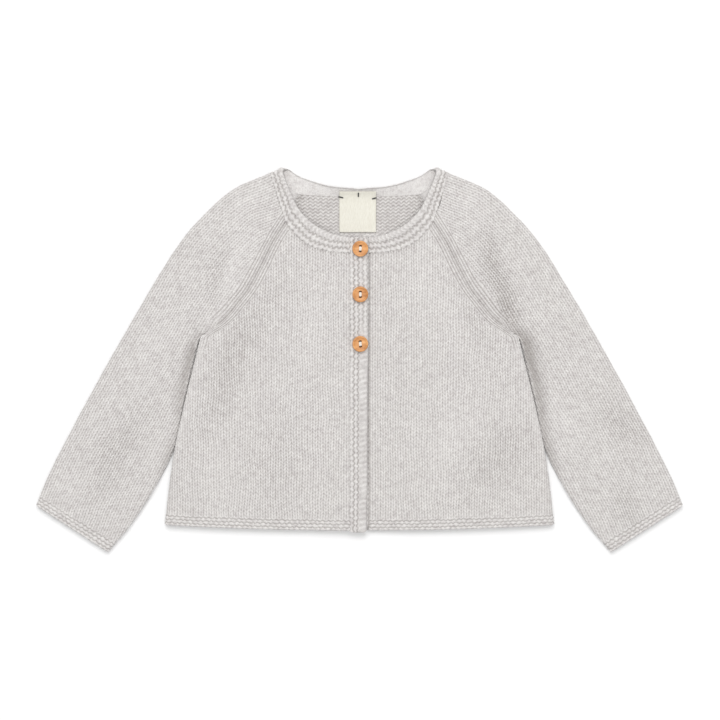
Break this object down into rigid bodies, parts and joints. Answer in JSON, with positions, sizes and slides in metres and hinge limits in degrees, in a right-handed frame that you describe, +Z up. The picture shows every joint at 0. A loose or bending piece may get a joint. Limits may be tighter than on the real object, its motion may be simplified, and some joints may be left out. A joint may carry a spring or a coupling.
{
  "type": "baby cardigan",
  "caption": "Flat-lying knitted baby cardigan with raglan sleeves, garter-stitch neckband, front bands, hem and cuffs, and a buttoned front.",
  "frame": {"origin": "centre of the bounding box on the surface that the garment lies on", "axes": "+X across the chest from the wearer's right sleeve to the left, +Y from hem to neck, +Z up from the surface"},
  "size_m": [0.4662, 0.2778, 0.0109],
  "materials": {
    "knit": "soft heathered grey wool",
    "tape": "plain cream woven tape",
    "button_wood": "satin orange-tan wood"
  },
  "bodies": {
    "root": {"back": "knit", "front_right": "knit", "front_left": "knit", "sleeve_right": "knit", "sleeve_left": "knit", "neckband": "knit", "buttonhole_band": "knit", "button_band": "knit", "label": "tape", "button_1": "button_wood", "button_2": "button_wood", "button_3": "button_wood"}
  },
  "joints": []
}
